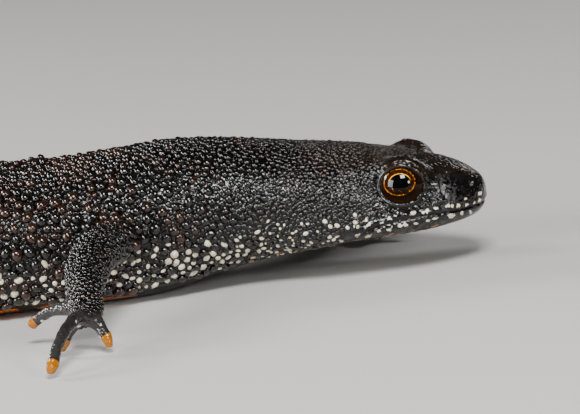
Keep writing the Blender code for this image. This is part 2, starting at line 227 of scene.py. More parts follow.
SPINE, AHEAD, STATIONS = walk_spine()
print("spine of", len(SPINE), "steps")

# %% [markdown]
# ## From a point to its place on the newt
# A point's nearest step of the spine tells how far behind the snout it lies, and its
# gap from that step tells how far it is to the right. The points are matched in
# batches, because a table of all points against all steps would fill the memory.

# %% Coordinates of points
AT_ONCE = 20000  # points in a batch


def body_coordinates(points):
    """Distance behind the snout, distance to the right, and height, in mm."""
    flat = points[:, :2] / MM
    station, right = np.empty(len(flat)), np.empty(len(flat))
    for start in range(0, len(flat), AT_ONCE):
        part = slice(start, start + AT_ONCE)
        gaps = flat[part, None, :] - SPINE[None]
        nearest = (gaps ** 2).sum(axis=2).argmin(axis=1)
        gap = gaps[np.arange(len(nearest)), nearest]
        ahead = AHEAD[nearest]
        station[part] = STATIONS[nearest] - (gap * ahead).sum(axis=1)
        right[part] = gap[:, 0] * ahead[:, 1] - gap[:, 1] * ahead[:, 0]
    return station, right, points[:, 2] / MM


def read(items, key, width=3, kind=float):
    """One property of all of a mesh's items, as rows of numbers."""
    flat = np.empty(len(items) * width, dtype=kind)
    items.foreach_get(key, flat)
    return flat.reshape(-1, width)


def mesh_points(mesh):
    return read(mesh.vertices, "co")


def node_points(*names):
    """All the corners of the named pieces of the frame."""
    return np.concatenate([mesh_points(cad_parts[name].data) for name in names])


def half_width(station):
    return np.interp(station, *zip(*HALF_WIDTHS))


HEAD_AHEAD = np.array([math.cos(math.radians(HEAD_TURN)), math.sin(math.radians(HEAD_TURN)), 0.0])
HEAD_RIGHT = np.array([HEAD_AHEAD[1], -HEAD_AHEAD[0], 0.0])
print("head faces", np.round(HEAD_AHEAD, 3), "and is", 2 * half_width(9.0), "mm wide at the jaw")

# %% [markdown]
# ## One skin
# The frame's flesh is parted by thin cuts. Each piece is copied and swelled until
# it overlaps its neighbours, and a voxel remesh then makes one closed skin of all.

# %% Copies of the flesh
EYES = ("eye_left", "eye_right")
FLESH = [name for name in sorted(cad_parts) if name not in EYES]
SWELL = 0.14 * MM
VOXEL = 0.335 * MM
SAME_POINT = 0.0005 * MM
PLUG_PROUD = 0.35 * MM
EYE_CENTRES = {}
EYE_RADIUS = 0.0
for name in EYES:
    low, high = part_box(name)
    EYE_CENTRES[name] = (low + high) / 2
    EYE_RADIUS = max(high - low) / 2


def apply_modifier(thing, kind, **settings):
    select_only(thing)
    modifier = thing.modifiers.new(kind.lower(), kind)
    for key, value in settings.items():
        setattr(modifier, key, value)
    bpy.ops.object.modifier_apply(modifier=modifier.name)


def flesh_copy(name):
    """A closed copy of one of the frame's pieces, swelled until it meets its neighbours."""
    copy = add_object("flesh_" + name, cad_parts[name].data.copy())
    shape = bmesh.new()
    shape.from_mesh(copy.data)
    bmesh.ops.remove_doubles(shape, verts=shape.verts, dist=SAME_POINT)
    bmesh.ops.recalc_face_normals(shape, faces=shape.faces)
    shape.to_mesh(copy.data)
    shape.free()
    apply_modifier(copy, "DISPLACE", strength=SWELL, mid_level=0.0)
    return copy


def socket_plug(name):
    """A ball that fills an eye's socket, so that the skin closes over it."""
    clear_selection()
    bpy.ops.mesh.primitive_uv_sphere_add(
        segments=32, ring_count=20, radius=EYE_RADIUS + PLUG_PROUD, location=EYE_CENTRES[name]
    )
    return bpy.context.object


print(len(FLESH), "pieces of flesh, and eyes of", round(2 * EYE_RADIUS / MM, 2), "mm")

# %% [markdown]
# ## From pieces to one mesh
# The copies are joined into one object, and the remesh keeps only the outside of the
# heap. The size of its voxels is a choice: small enough for toes, and large enough to
# run over the cuts between the pieces.

# %% Join the flesh
def join_flesh():
    pieces = [flesh_copy(name) for name in FLESH] + [socket_plug(name) for name in EYES]
    select_only(*pieces)
    bpy.ops.object.join()
    skin = bpy.context.object
    skin.name = "skin"
    bpy.ops.object.transform_apply(location=True, rotation=True, scale=True)
    skin.data.materials.clear()
    apply_modifier(skin, "REMESH", mode="VOXEL", voxel_size=VOXEL, use_smooth_shade=True)
    return skin


skin = join_flesh()
report("skin of", len(skin.data.vertices), "points")

# %% [markdown]
# ## Smoothing without shrinking
# Voxels leave little steps and the solids have flat facets. Plain smoothing would
# thin the toes, so each round pulls the points together and then pushes them back
# by a little more (Taubin's way), which irons out facets and keeps the volume.

# %% Iron out the facets
def mesh_normals(mesh):
    return read(mesh.vertices, "normal")


def set_points(mesh, points):
    mesh.vertices.foreach_set("co", points.ravel())
    mesh.update()


def taubin(thing, rounds, weight=1.0, push=-0.52, pull=0.5):
    """Smooths a piece's mesh, most where the weight is 1."""
    points = mesh_points(thing.data)
    first, second = read(thing.data.edges, "vertices", 2, int).T
    count = len(points)
    degree = np.bincount(first, minlength=count) + np.bincount(second, minlength=count)
    weight = np.broadcast_to(weight, count)
    for _ in range(rounds):
        for strength in (pull, push):
            for axis in range(3):
                line = points[:, axis]
                total = np.bincount(first, line[second], count) + np.bincount(second, line[first], count)
                points[:, axis] = line + strength * weight * (total / degree - line)
    set_points(thing.data, points)


taubin(skin, 26)
report("ironed", len(skin.data.vertices), "points")

# %% [markdown]
# ## Coordinates of the head
# The head doesn't bend, so its features are placed on a straight axis of its own. The
# mouth is a line of a few points in those coordinates, and the nostril is one point.

# %% Head coordinates
EYE_MIDDLE = np.array((EYE_CENTRES["eye_right"] + EYE_CENTRES["eye_left"]) / 2)
SNOUT = (node_points("head", "lower_jaw") @ HEAD_AHEAD).max()
HEAD_COAT, BODY_COAT, LIMB_COAT = 0.05, 0.16, 0.05  # mm by which the skin lies inside the flesh
MOUTH_LINE = (  # behind the snout, height, in mm
    (0, 3.93), (1.3, 3.88), (3.6, 3.92), (4.6, 3.94), (5.9, 3.82), (7, 3.6), (7.9, 3.27), (8.6, 3.02),
)
MOUTH_END = 8.5
NOSTRIL = (0.85, 1.9, 5.39)  # behind the snout, out from the middle, height, in mm


def head_coordinates(points):
    """Like body_coordinates, but on the head's own straight axis, and without a sign."""
    behind = (SNOUT - points @ HEAD_AHEAD) / MM
    out = np.abs((points - EYE_MIDDLE) @ HEAD_RIGHT) / MM
    return behind, out, points[:, 2] / MM


def above_mouth(behind, height):
    return height - np.interp(behind, *zip(*MOUTH_LINE))


def eye_distance(points):
    gaps = [np.linalg.norm(points - np.array(centre), axis=1) for centre in EYE_CENTRES.values()]
    return np.minimum(*gaps) / MM


print("snout", round(SNOUT / MM, 2), "mm along the head's axis")

# %% [markdown]
# ## A finer mesh where the detail is
# Lids, lips, nostrils and toes are thinner than the first mesh can hold. Their faces
# are split in two or four along each side, and the rest of the skin stays coarse.

# %% Split the faces
def split_faces(thing, chosen):
    """Splits each side of the chosen faces in two."""
    shape = bmesh.new()
    shape.from_mesh(thing.data)
    shape.faces.ensure_lookup_table()
    sides = {side for i in np.flatnonzero(chosen) for side in shape.faces[i].edges}
    bmesh.ops.subdivide_edges(shape, edges=list(sides), cuts=1, use_grid_fill=True)
    shape.to_mesh(thing.data)
    shape.free()


def head_detail(middles):
    """Faces of the lids, the lips and the nostrils."""
    behind, out, height = head_coordinates(middles)
    lips = (behind < 9.5) & (np.abs(above_mouth(behind, height)) < 0.95) & (out > 0.2)
    pits = np.linalg.norm(np.stack([behind, out, height], 1) - NOSTRIL, axis=1) < 0.9
    return (eye_distance(middles) < 2.6) | lips | pits


def near_limb(middles, reach):
    """Which points lie more than reach mm outside the body."""
    station, right, _ = body_coordinates(middles)
    return np.abs(right) > half_width(station) + reach


middles = read(skin.data.polygons, "center")
station, right, height = body_coordinates(middles)
feet = near_limb(middles, 6.2) & (height < 2.6)
split_faces(skin, (station < 12.5) & ~near_limb(middles, 1.0) | feet)
taubin(skin, 4)
split_faces(skin, head_detail(read(skin.data.polygons, "center")))
taubin(skin, 3)
report("split to", len(skin.data.vertices), "points")

# %% [markdown]
# ## Room for the warts
# The warts stand on the skin and their tops make the outline, so the skin sinks by
# their height. It sinks least on the head and the toes, where the hide is smooth.

# %% Sink the skin
def limb_share(station, right):
    """1 on the limbs and 0 on the body."""
    beyond = np.abs(right) - half_width(station)
    return ramp(0.1, 1.5, beyond) * ((station > 6) & (station < 85))


def sink_skin():
    points = mesh_points(skin.data)
    station, right, height = body_coordinates(points)
    depth = HEAD_COAT + (BODY_COAT - HEAD_COAT) * ramp(8, 20, station)
    depth *= 1 - 0.5 * ramp(74, 110, station)
    belly = 1 - ramp(1.0, 2.2, height)
    depth += (LIMB_COAT - depth) * np.maximum(limb_share(station, right), belly)
    points -= (depth + SWELL / MM)[:, None] * MM * mesh_normals(skin.data)
    set_points(skin.data, points)


sink_skin()
print("skin box", [round(v / MM, 2) for v in mesh_points(skin.data).min(0)])

# %% [markdown]
# ## Lids
# A newt's eye sits in a round socket behind a thin wet rim, with a fold of skin
# above it. Round each eye the skin is a shell whose distance from the eye's middle
# depends only on the angle from the opening: behind the eyeball inside the opening,
# then the rim, a crease, the fold, and at last the skin of the head as it was.

# %% The opening of the lids
SIDES = {"eye_right": 1, "eye_left": -1}
OPENING_LIFT, OPENING_FORWARD = 9.7, 0.5  # degrees that the opening faces up and forward
OPENING_HALF = (1.50, 1.28)  # mm, along the head and up
RIM_RADIUS = 1.80
BEHIND_BALL = 1.42  # mm, where the skin runs behind the eyeball's surface


def eye_axes(side, lift, forward):
    """The way an eye faces, and what is ahead and up as seen along it."""
    lift, forward = math.radians(lift), math.radians(forward)
    level = math.cos(forward) * side * HEAD_RIGHT + math.sin(forward) * HEAD_AHEAD
    gaze = math.cos(lift) * level + np.array([0.0, 0.0, math.sin(lift)])
    ahead = HEAD_AHEAD - (HEAD_AHEAD @ gaze) * gaze
    ahead /= np.linalg.norm(ahead)
    return gaze, ahead, np.cross(gaze, ahead) * side


def opening_reach(turn):
    """Half the opening's width in mm in the direction turned from ahead."""
    return 1 / np.sqrt((np.cos(turn) / OPENING_HALF[0]) ** 2 + (np.sin(turn) / OPENING_HALF[1]) ** 2)


print("openings of", 2 * OPENING_HALF[0], "by", 2 * OPENING_HALF[1], "mm")

# %% [markdown]
# ## Shaping the lids
# The profile of a lid is a sum of steps and soft bumps along the angle. Every point
# near an eye is moved along its line from the eye's middle until it lies on it, and
# the profile fades into the old skin, so that no seam shows.

# %% Shape the lids
def bump(value, middle, width):
    """1 in the middle, falling softly to 0 on both sides."""
    return np.exp(-(((value - middle) / width) ** 2))


def lid_radius(angle, turn, was):
    """Distance from the eye's middle in mm: angle from the opening, and turn round it from ahead."""
    edge = np.degrees(np.arcsin(opening_reach(turn) / RIM_RADIUS))
    over = ramp(-0.2, 0.5, np.sin(turn))
    past = angle - edge
    lid = BEHIND_BALL + (RIM_RADIUS - BEHIND_BALL) * ramp(-4, 1.5, past)
    lid += 0.07 * bump(past, 4.5, 3.0) - 0.05 * bump(past, 9.5, 2.5)
    lid += 0.10 * ramp(8, 14, past)
    fold = 0.07 * bump(angle, 61, 2.6) - 0.08 * bump(angle, 65.0, 1.8) + 0.07 * bump(angle, 69, 2.4)
    lid += over * fold
    lid -= (1 - over) * 0.05 * bump(past, 17, 3.0)
    back = ramp(7, 24, past)
    return lid + back * (was - lid)


def open_lids():
    points = mesh_points(skin.data)
    for name, side in SIDES.items():
        centre = np.array(EYE_CENTRES[name])
        gaze, ahead, up = eye_axes(side, OPENING_LIFT, OPENING_FORWARD)
        gap = points - centre
        was = np.linalg.norm(gap, axis=1) / MM
        way = gap / (was[:, None] * MM)
        angle = np.degrees(np.arccos(np.clip(way @ gaze, -1, 1)))
        turn = np.arctan2(way @ up, way @ ahead)
        near = (was < 4.6) & (angle < 100)
        new = lid_radius(angle[near], turn[near], was[near])
        points[near] = centre + way[near] * new[:, None] * MM
        print(name, "lids shaped with", int(near.sum()), "points")
    set_points(skin.data, points)


open_lids()

# %% [markdown]
# ## Mouth, nostrils and folds
# The mouth is a long closed line, so it is pressed in as a narrow groove under a
# slightly swollen lip. Pits, creases and wrinkles are pressed in the same way: each
# point moves along its normal by a sum of soft bumps.

# %% Press in the mouth, nostrils and folds
MOUTH_DEPTH, LIP_SWELL, JAW_DIP = 0.17, 0.05, 0.02  # mm, as all the depths of this cell
NOSTRIL_DEPTH, NOSTRIL_RIM = 0.22, 0.02
CHIN_BACK = 0.22
HOLLOW_DEPTH, RIDGE_HEIGHT = 0.06, 0.05
THROAT_FOLD, CHEEK_FOLD = 0.10, 0.07


def lumps(rows, size, chosen):
    """Smooth noise from about -1 to 1 with lumps size mm across, at the chosen points only."""
    values = np.zeros(len(rows))
    for i in np.flatnonzero(chosen):
        values[i] = 1.8 * noise.noise(Vector(rows[i] / size))
    return values


def press_head():
    """Presses in the mouth, the nostrils, the folds and the lumps of the head."""
    points, normals = mesh_points(skin.data), mesh_normals(skin.data)
    behind, out, height = head_coordinates(points)
    station, right, _ = body_coordinates(points)
    on_head = (behind < 11) & (np.abs(right) < 6.2)
    up = above_mouth(behind, height)
    along = ramp(MOUTH_END + 0.3, MOUTH_END - 0.7, behind) * on_head
    mouth = -MOUTH_DEPTH * bump(up, 0.0, 0.10) + LIP_SWELL * bump(up, 0.28, 0.17)
    move = along * (mouth - JAW_DIP * bump(up, -0.3, 0.2))
    pit = np.linalg.norm(np.stack([behind, out, height], 1) - NOSTRIL, axis=1)
    move += on_head * (-NOSTRIL_DEPTH * bump(pit, 0.0, 0.16) + NOSTRIL_RIM * bump(pit, 0.32, 0.12))
    # the chin draws back below the mouth
    chin = ramp(1.6, 0.2, behind) * ramp(-0.1, -1.0, up) * on_head
    points -= (CHIN_BACK * chin * MM)[:, None] * HEAD_AHEAD
    # a hollow before each eye, and a ridge from the eye to the nostril
    move -= on_head * HOLLOW_DEPTH * bump(behind, 2.9, 0.8) * bump(height, 5.5, 0.6)
    ridge = height - (6.05 + 0.22 * behind)
    move += on_head * RIDGE_HEIGHT * bump(ridge, 0.0, 0.25) * ramp(3.9, 3.0, behind) * ramp(0.3, 0.9, out)
    # folds of the throat and behind the jaw
    fold = station - (13.6 + 0.35 * (height - 2.0))
    move -= (np.abs(right) < 6.3) * THROAT_FOLD * bump(fold, 0.0, 0.35) * ramp(5.2, 3.4, height)
    cheek = station - (9.6 - 0.22 * (height - 3.0))
    move -= (np.abs(right) < 6.3) * CHEEK_FOLD * bump(cheek, 0.0, 0.30) * ramp(5.4, 4.4, height)
    rows = points / MM
    patch = on_head * bump(behind, 2.9, 1.1) * bump(height, 5.3, 0.85) * ramp(1.5, 2.2, out)
    past_lids = on_head * ramp(1.9, 2.3, eye_distance(points))
    side = past_lids * ramp(2.2, 4.0, behind) * ramp(0.35, 0.7, np.abs(up)) * ramp(7.6, 7.0, height)
    top = past_lids * ramp(7.6, 8.6, height + 0.25 * (5.0 - behind))
    move += (0.22 * patch + 0.05 * side + 0.03 * top) * lumps(rows, 0.40, on_head)
    move += (0.06 * patch + 0.02 * top) * lumps(rows, 0.17, on_head)
    points += (move * MM)[:, None] * normals
    set_points(skin.data, points)


press_head()
print("head pressed")

# %% [markdown]
# ## The ridge of the back
# Out of the breeding season the crest has shrunk to a low, uneven ridge along the
# back, and a plain edge along the tail. Two sine waves of different length are added
# to make it uneven.

# %% Raise the ridge
def raise_crest():
    """Raises a low wavy ridge along the back and a plain one along the tail."""
    points = mesh_points(skin.data)
    station, right, height = body_coordinates(points)
    back = ramp(27, 31, station) * ramp(67, 62, station) * bump(right, 0.0, 0.42) * (height > 6.5)
    wave = 0.17 + 0.10 * np.sin(station * 2.6) + 0.06 * np.sin(station * 6.1 + 1.0)
    tail = ramp(70, 80, station) * ramp(131, 118, station) * bump(right, 0.0, 0.35)
    points[:, 2] += (back * wave + tail * ramp(4.2, 7.0, height) * 0.15) * MM
    set_points(skin.data, points)


raise_crest()
lowest = mesh_points(skin.data)[:, 2].min()
print("lowest point of the skin", round(lowest / MM, 3), "mm")

# %% [markdown]
# ## Where each colour lies
# A crested newt is black or dark brown above, orange with black blotches below,
# cream along the lips, and orange at the ends of its toes. Each colour gets a mask:
# a number from 0 to 1 on every point, worked out from where the point lies. The
# warts will ask the same function, so skin and warts carry the same markings.

# %% Ends of the toes
HANDS = {"left_hand": ("left_forearm", 4), "right_hand": ("right_forearm", 4),
         "left_foot": ("left_shin", 5), "right_foot": ("right_shin", 5)}


def palm_and_tips(hand, limb, count):
    """The palm's middle and the ends of the digits: the farthest corners, one in each direction."""
    corners = node_points(hand)
    wrist = node_points(limb).mean(axis=0)
    reach = np.linalg.norm(corners - wrist, axis=1)
    start = corners[np.argsort(reach)[:40]].mean(axis=0)
    middle = corners.mean(axis=0)
    palm = start + 2.2 * MM * (middle - start) / np.linalg.norm(middle - start)
    gaps = corners - palm
    away = np.linalg.norm(gaps, axis=1)
    ways = gaps / away[:, None]
    back = (wrist - palm) / np.linalg.norm(wrist - palm)
    free = (ways @ back < math.cos(math.radians(55))) & (corners[:, 2] < 1.8 * MM)
    tips = []
    for _ in range(count):
        best = np.where(free, away, 0).argmax()
        tips.append(corners[best])
        free &= ways @ ways[best] < math.cos(math.radians(25))
    return palm, tips


DIGITS = []  # the palm and the tip of each digit
for hand, (limb, count) in HANDS.items():
    palm, tips = palm_and_tips(hand, limb, count)
    DIGITS += [(palm, tip) for tip in tips]
    lengths = [round(float(np.linalg.norm(tip - palm)) / MM, 1) for tip in tips]
    print(hand, "palm", np.round(palm / MM, 1), "digits", lengths, "mm")


def nearness(points, reach, fade):
    """1 within reach mm of the end of any digit, fading to 0 at fade mm."""
    share = np.zeros(len(points))
    for _, tip in DIGITS:
        share = np.maximum(share, ramp(fade, reach, np.linalg.norm(points - tip, axis=1) / MM))
    return share


# the remesh has left corners on the ends of the toes, which are ironed out
taubin(skin, 10, weight=nearness(mesh_points(skin.data), 0.9, 1.4), push=-0.3)

# %% [markdown]
# ## Blotches on the lips
# The cream of the lips is a row of uneven blotches. No pattern makes a row like it, so each blotch is a
# small ellipse in the head's own coordinates. Most of their places were measured and the rest set one by
# one, and the noise of the material frays their edges later.

# %% Blotches of the lips
# blotches of the lips: behind the snout, above the mouth line, half length, half height, in mm
BLOTCHES = (
    (0.40, 0.72, 0.16, 0.15), (0.45, 0.26, 0.15, 0.18), (0.80, 0.20, 0.12, 0.13),
    (1.24, 0.24, 0.14, 0.12), (1.30, 0.68, 0.13, 0.10), (1.80, 0.34, 0.14, 0.17),
    (2.15, 0.44, 0.13, 0.12), (2.45, 0.46, 0.15, 0.18), (3.18, 0.48, 0.20, 0.12),
    (3.75, 0.36, 0.17, 0.15), (4.05, 0.28, 0.16, 0.11), (4.70, 0.31, 0.28, 0.17),
    (6.26, 0.30, 0.20, 0.14), (6.75, 0.20, 0.18, 0.09), (7.65, 0.45, 0.22, 0.16),
    (7.75, 0.86, 0.16, 0.12), (1.10, -0.42, 0.11, 0.23), (1.62, -0.28, 0.13, 0.17),
    (2.30, -0.30, 0.28, 0.20), (3.35, -0.28, 0.23, 0.13), (3.80, -0.34, 0.14, 0.11),
    (4.57, -0.43, 0.24, 0.12), (5.25, -0.34, 0.22, 0.17), (5.62, -0.32, 0.20, 0.15),
    (6.35, -0.42, 0.19, 0.14), (7.00, -0.28, 0.20, 0.14), (7.80, -0.36, 0.26, 0.17),
    (8.45, 0.10, 0.20, 0.15),
)
LEFT_LIP_SLIDE = 0.22  # mm; the left lip has the same run of blotches, a little farther back


def lip_blotches(behind, up, right):
    """1 in the middle of a blotch of the lips and 0 outside it."""
    found = np.zeros(len(behind))
    slide = np.where(right > 0, 0.0, LEFT_LIP_SLIDE)
    for at, rise, long, tall in BLOTCHES:
        size = np.hypot((behind - slide - at) / long, (up - rise) / tall)
        found = np.maximum(found, ramp(1.55, 0.15, size))
    return found


print(len(BLOTCHES), "blotches on each lip")

# %% [markdown]
# ## Masks of the markings
# The masks come next. Each is a product of ramps: one along the body, one for the
# height, and one that leaves out the limbs where the colour isn't theirs. They are
# written on the mesh as attributes, which the materials read by name.

# %% Masks of the markings
def digit_share(points, limb, height):
    """1 on the digits and 0 on the rest."""
    share = np.zeros(len(points))
    for palm, tip in DIGITS:
        length = np.linalg.norm(tip - palm) / MM
        along = (tip - palm) / (length * MM)
        gap = (points - palm) / MM
        reach = gap @ along
        beside = np.linalg.norm(gap - reach[:, None] * along, axis=1)
        on_digit = ramp(0.6, 1.2, reach) * ramp(length + 1.2, length + 0.8, reach)
        share = np.maximum(share, on_digit * ramp(1.6, 1.0, beside))
    return share * limb * ramp(3.7, 3.1, height)


def markings(points):
    """The masks at these points, by name."""
    station, right, height = body_coordinates(points)
    behind, out, _ = head_coordinates(points)
    on_head = (behind < 9.5) & (np.abs(right) < 6.0)
    up = above_mouth(behind, height)
    limb = limb_share(station, right)
    trunk = ramp(15, 21, station) * ramp(74, 69, station) * (1 - limb)
    tail = ramp(69, 74, station)
    belly = trunk * ramp(20, 27, station) * ramp(0.95, 0.45, height)
    belly += tail * ramp(1.7, 0.8, height) * ramp(131, 122, station)
    chin_height = np.interp(station, (0, 4, 9, 16), (3.4, 2.9, 2.6, 2.0))
    throat = ramp(19, 14, station) * ramp(0.5, -0.3, height - chin_height)
    tip = nearness(points, 0.75, 1.25)
    digit = digit_share(points, limb, height)
    top = np.interp(station, (0, 2.5, 6, 12), (5.3, 6.1, 6.9, 7.6))
    brown = ramp(-0.1, 0.5, height - top) * ramp(14, 9, station) * (1 - limb)
    ridge = ramp(27, 31, station) * ramp(90, 70, station) * bump(right, 0, 0.5) * (height > 6.0)
    brown = np.maximum(brown, ridge)
    # painted sheen: this mask lays streaks of pale grey before each eye, in place of the light on the wet
    # skin there
    wet = on_head * bump(behind, 2.75, 0.75) * bump(height, 5.25, 0.75) * ramp(1.5, 2.2, out)
    dark = np.maximum(limb, ramp(26, 16, station))
    return {
        "belly": belly, "throat": throat * (1 - limb), "pale": lip_blotches(behind, up, right) * on_head,
        "tip": tip, "digit": digit * (1 - tip), "brown": brown, "wet": wet, "dark": dark,
    }


def write_masks(mesh, masks):
    for name, values in masks.items():
        layer = mesh.attributes.new(name, "FLOAT", "POINT")
        layer.data.foreach_set("value", np.asarray(values, dtype=np.float32))


masks = markings(mesh_points(skin.data))
write_masks(skin.data, {**masks, "tone": np.zeros(len(skin.data.vertices))})
print("masks", {name: int((values > 0.5).sum()) for name, values in masks.items()})

# %% [markdown]
# ## Unwrapping the skin
# Every wart needs a place on the skin's own unwrap, so that its colour lands on a
# small patch there. Smart UV Project cuts the skin where it turns sharply and lays
# the parts flat, which suits a shape with limbs and toes.

# %% Unwrap
UV_NAME = "OFBake"


def unwrap_skin():
    skin.data.uv_layers.new(name=UV_NAME)
    select_only(skin)
    bpy.ops.object.mode_set(mode="EDIT")
    bpy.ops.mesh.select_all(action="SELECT")
    bpy.ops.uv.smart_project(angle_limit=math.radians(66), island_margin=0.0015)
    bpy.ops.object.mode_set(mode="OBJECT")


unwrap_skin()
report("unwrapped")

# %% [markdown]
# ## One bead
# A wart is a low glossy bead. It is modelled once as a small sphere whose lower part
# is drawn together to a point under the skin. Thousands of copies follow, so the
# large one has 48 faces and the small one 24.

# %% Model a bead
def model_bead(segments, rings):
    """Corners and triangles of a bead of radius 1 that sits on the plane z = 0."""
    clear_selection()
    bpy.ops.mesh.primitive_uv_sphere_add(segments=segments, ring_count=rings, radius=1.0)
    bead = bpy.context.object
    bpy.ops.object.mode_set(mode="EDIT")
    bpy.ops.mesh.select_mode(type="VERT")
    bpy.ops.mesh.select_all(action="DESELECT")
    bpy.ops.object.mode_set(mode="OBJECT")
    for corner in bead.data.vertices:
        corner.select = corner.co.z < -0.1
    bpy.ops.object.mode_set(mode="EDIT")
    bpy.ops.mesh.merge(type="CENTER")
    bpy.ops.mesh.select_all(action="SELECT")
    bpy.ops.mesh.quads_convert_to_tris()
    bpy.ops.object.mode_set(mode="OBJECT")
    corners = mesh_points(bead.data)
    faces = np.array([list(face.vertices) for face in bead.data.polygons])
    bpy.data.objects.remove(bead)
    corners[:, 2] = np.where(corners[:, 2] < 0, -0.45, corners[:, 2])
    print("bead with", len(corners), "corners and", len(faces), "faces")
    return corners, faces


LARGE_BEAD = model_bead(8, 6)
SMALL_BEAD = model_bead(6, 4)

# %% [markdown]
# ## Scattering the warts
# Real warts crowd together and never overlap. Points are thrown at the skin, large
# warts first, and a point is kept only if no wart that is already there stands in
# its way. The seed is fixed, so every run throws the same points.

# %% How large the warts are in each place
def wart_size(points):
    """Radius in mm of the largest warts at these points, and 0 where the hide is smooth."""
    station, right, height = body_coordinates(points)
    behind = head_coordinates(points)[0]
    limb = limb_share(station, right)
    size = np.interp(station, (4, 8, 14, 18, 22, 60, 72, 85, 110, 130),
                     (0.13, 0.17, 0.21, 0.30, 0.42, 0.43, 0.34, 0.30, 0.26, 0.20))
    size *= 1 - 0.30 * ramp(7.0, 9.3, height) * ramp(15, 22, station)
    size += (0.20 - size) * limb
    size *= np.where(limb > 0.5, 1 - 0.35 * ramp(4.5, 2.0, height), 1.0)
    under = np.interp(station, (6, 10, 16, 20, 24), (2.9, 2.6, 1.8, 1.35, 1.0))
    bare = (height < under) & (limb < 0.5)
    bare |= (height < 1.1) & (limb >= 0.5)
    bare |= digit_share(points, limb, height) > 0.35
    on_head = (behind < 8.0) & (np.abs(right) < 6.0)
    crown = on_head & (height > np.interp(behind, (0, 2.5, 6, 8), (4.9, 6.0, 7.3, 7.7)))
    size = np.where(crown, 0.085, size)
    muzzle = on_head & (behind < 4.2)
    size = np.where(muzzle, 0.105, size)
    hollow = np.hypot((behind - 2.8) / 0.95, (height - 5.3) / 0.75) < 1
    bare |= muzzle & ((behind < 1.9) | (height > 6.1) | hollow)
    bare |= crown & (behind < 4.6)
    bare |= (np.abs(right) < 0.20) & (station > 28) & (station < 66) & (height > 6)
    bare |= (behind < 9.5) & (np.abs(right) < 6.0) & (above_mouth(behind, height) < 0.62)
    bare |= eye_distance(points) < 1.98
    return np.where(bare, 0.0, size)


def pale_chance(points):
    """How likely a wart is to be cream: most on the lower flank and the neck."""
    station, right, height = body_coordinates(points)
    limb = limb_share(station, right)
    middle = np.interp(station, (7, 12, 18, 24, 30, 66), (3.7, 3.1, 2.8, 2.5, 2.5, 2.2))
    reach = np.interp(station, (7, 12, 18, 24, 66), (1.0, 1.5, 1.5, 1.2, 1.1))
    return bump(height, middle, reach) * (1 - limb) * ramp(6.5, 8.5, station) * ramp(88, 74, station)


print("largest wart on the flank", round(float(wart_size(np.array([[0.0, -6e-3, 5e-3]]))[0]), 2), "mm")

# %% [markdown]
# ## Room for each wart
# Testing every new wart against all the others would take minutes. Space is cut into
# small cells instead, and each cell lists the warts that reach into it, so that a new
# wart is only compared with the few around it.

# %% A crowd of warts
CELL = 0.35  # mm


class Crowd:
    """Warts that already stand, kept by the cell of space they reach into."""

    def __init__(self):
        self.cells = {}

    def add(self, x, y, z, radius, margin):
        reach = radius + margin
        spans = [range(int((v - reach) // CELL), int((v + reach) // CELL) + 1) for v in (x, y, z)]
        for i in spans[0]:
            for j in spans[1]:
                for k in spans[2]:
                    self.cells.setdefault((i, j, k), []).append((x, y, z, radius))

    def has_room(self, x, y, z, radius, squeeze):
        near = self.cells.get((int(x // CELL), int(y // CELL), int(z // CELL)), ())
        for a, b, c, other in near:
            if (x - a) ** 2 + (y - b) ** 2 + (z - c) ** 2 < (squeeze * (radius + other)) ** 2:
                return False
        return True


print("cells of", CELL, "mm")

# %% [markdown]
# ## Throwing points at the skin
# A triangle is drawn by its area times how many warts are wanted there, and a point is
# drawn inside it. The same shares of its three corners give the point's normal and its
# place on the unwrap.

# %% Points on the skin
SEED = 11
rng = np.random.default_rng(SEED)


class SkinSampler:
    """Random points on the skin, with the normal and the unwrap's place at each."""

    def __init__(self):
        mesh = skin.data
        mesh.calc_loop_triangles()
        self.corners = read(mesh.loop_triangles, "vertices", kind=int)
        loops = read(mesh.loop_triangles, "loops", kind=int)
        self.places = read(mesh.uv_layers[UV_NAME].data, "uv", 2)[loops]
        self.points = mesh_points(mesh)
        self.normals = mesh_normals(mesh)
        a, b, c = (self.points[self.corners[:, k]] for k in range(3))
        self.middles = (a + b + c) / 3
        self.areas = np.linalg.norm(np.cross(b - a, c - a), axis=1) / 2 / MM ** 2

    def throw(self, weights, per_unit):
        """About per_unit points for each unit of area times weight."""
        load = self.areas * weights
        count = int(load.sum() * per_unit)
        chosen = rng.choice(len(load), size=count, p=load / load.sum())
        mix = rng.dirichlet((1.0, 1.0, 1.0), size=count)
        corners = self.corners[chosen]
        points = (self.points[corners] * mix[:, :, None]).sum(axis=1)
        normals = (self.normals[corners] * mix[:, :, None]).sum(axis=1)
        normals /= np.linalg.norm(normals, axis=1)[:, None]
        places = (self.places[chosen] * mix[:, :, None]).sum(axis=1)
        return points, normals, places


sampler = SkinSampler()
SIZE_MAP = wart_size(sampler.middles)
PALE_MAP = pale_chance(sampler.middles)
print(len(SIZE_MAP), "triangles,", int((SIZE_MAP > 0).sum()), "of them with warts")

# %% [markdown]
# ## How a wart finds its place
# A thrown point becomes a wart if the crowd leaves it room, and its values are kept
# in a table. How far a wart reaches into the cells around it depends on how large the
# next warts there can be.

# %% Grow from thrown points
LEAST_MARGIN = 0.09  # mm
WARTS = {"point": [], "normal": [], "place": [], "radius": [], "pale": []}


def grow(crowd, thrown, radii, pale, squeeze=0.82, margin=1.0):
    """Keeps each thrown wart that finds room in the crowd, and says how many were kept."""
    points, normals, places = thrown
    kept = []
    rows = (points / MM).tolist()
    margins = np.maximum(margin * wart_size(points), LEAST_MARGIN)
    for i, (row, radius, gap) in enumerate(zip(rows, radii.tolist(), margins.tolist())):
        if radius > 0 and crowd.has_room(*row, radius, squeeze):
            crowd.add(*row, radius, gap)
            kept.append(i)
    for key, values in (("point", points), ("normal", normals), ("place", places), ("radius", radii)):
        WARTS[key].append(values[kept])
    WARTS["pale"].append(np.full(len(kept), float(pale)))
    return len(kept)


